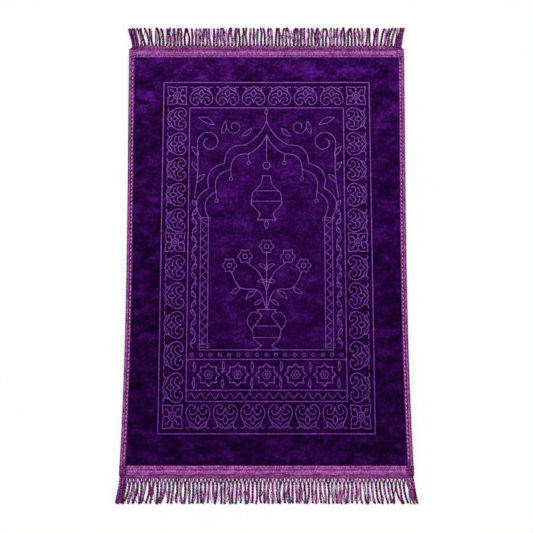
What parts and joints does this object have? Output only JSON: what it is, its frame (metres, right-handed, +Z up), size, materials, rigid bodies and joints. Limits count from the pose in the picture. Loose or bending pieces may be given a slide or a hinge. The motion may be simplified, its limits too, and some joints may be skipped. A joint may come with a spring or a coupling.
{
  "type": "prayer rug",
  "caption": "Flat plush prayer rug with a pressed niche design and border, bound long sides, woven end tapes and a knotted fringe at each end.",
  "frame": {"origin": "centre of the bounding box at its bottom, which is the floor the rug lies on", "axes": "+Y along the rug towards its far end, where the niche points; +X across the rug; +Z up out of the pile"},
  "size_m": [0.8121, 1.3548, 0.0075],
  "materials": {
    "plush": "short dense plush pile with pressed lines",
    "woven_tape": "ribbed woven tape with a slight lustre",
    "fringe_yarn": "twisted yarn with a slight lustre"
  },
  "bodies": {
    "root": {"pile_panel": "plush", "binding_left": "woven_tape", "binding_right": "woven_tape", "end_tape_far": "woven_tape", "end_tape_near": "woven_tape", "fringe_far": "fringe_yarn", "fringe_near": "fringe_yarn"}
  },
  "joints": []
}
